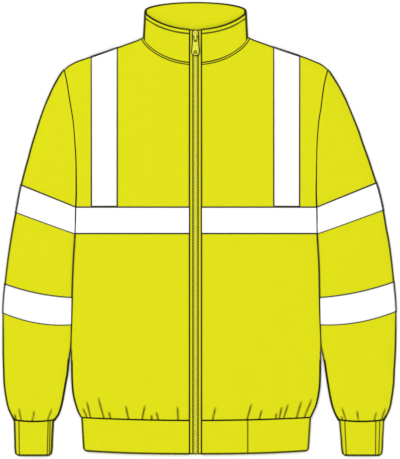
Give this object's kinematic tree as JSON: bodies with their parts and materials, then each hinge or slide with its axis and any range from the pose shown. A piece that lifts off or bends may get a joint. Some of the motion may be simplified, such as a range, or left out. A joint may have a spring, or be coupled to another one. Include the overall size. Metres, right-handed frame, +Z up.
{
  "type": "hi-vis work jacket",
  "caption": "Zipped blouson work jacket laid flat, with a stand collar, elastic waistband and cuffs, and reflective tape on chest, shoulders and sleeves.",
  "frame": {"origin": "middle of the jacket's footprint, on the surface that it lies on", "axes": "+X to the wearer's left, +Y from the hem to the collar, +Z up out of the front"},
  "size_m": [0.7478, 0.8594, 0.0142],
  "materials": {
    "cloth": "fluorescent yellow woven polyester",
    "rib": "fluorescent yellow elasticated band",
    "reflective_tape": "silver-white glass-bead reflective tape",
    "zip_cloth": "fluorescent yellow zip tape",
    "zip_teeth": "moulded yellow zip teeth",
    "zip_metal": "yellow painted zip slider"
  },
  "bodies": {
    "jacket": {"back_panel": "cloth", "waistband_back": "rib", "chest_tape_back": "reflective_tape", "front_right": "cloth", "chest_tape_right": "reflective_tape", "brace_tape_right_front": "reflective_tape", "brace_tape_right_back": "reflective_tape", "sleeve_right": "cloth", "sleeve_tape_upper_right": "reflective_tape", "sleeve_tape_lower_right": "reflective_tape", "cuff_right": "rib", "zip_tape_right": "zip_cloth", "front_left": "cloth", "chest_tape_left": "reflective_tape", "brace_tape_left_front": "reflective_tape", "brace_tape_left_back": "reflective_tape", "sleeve_left": "cloth", "sleeve_tape_upper_left": "reflective_tape", "sleeve_tape_lower_left": "reflective_tape", "cuff_left": "rib", "zip_tape_left": "zip_cloth", "collar": "cloth", "waistband_front_right": "rib", "waistband_front_left_inner": "rib", "waistband_front_left_outer": "rib", "zip_chain": "zip_teeth", "zip_slider": "zip_metal"},
    "pull_tab": {"zip_pull": "zip_metal"}
  },
  "joints": [
    {"name": "pull_tab_hinge", "type": "hinge", "parent": "jacket", "child": "pull_tab", "pos_m": [-0.00745, 0.3652, 0.011], "axis": [-1, 0, 0], "range_deg": [0, 150]}
  ]
}
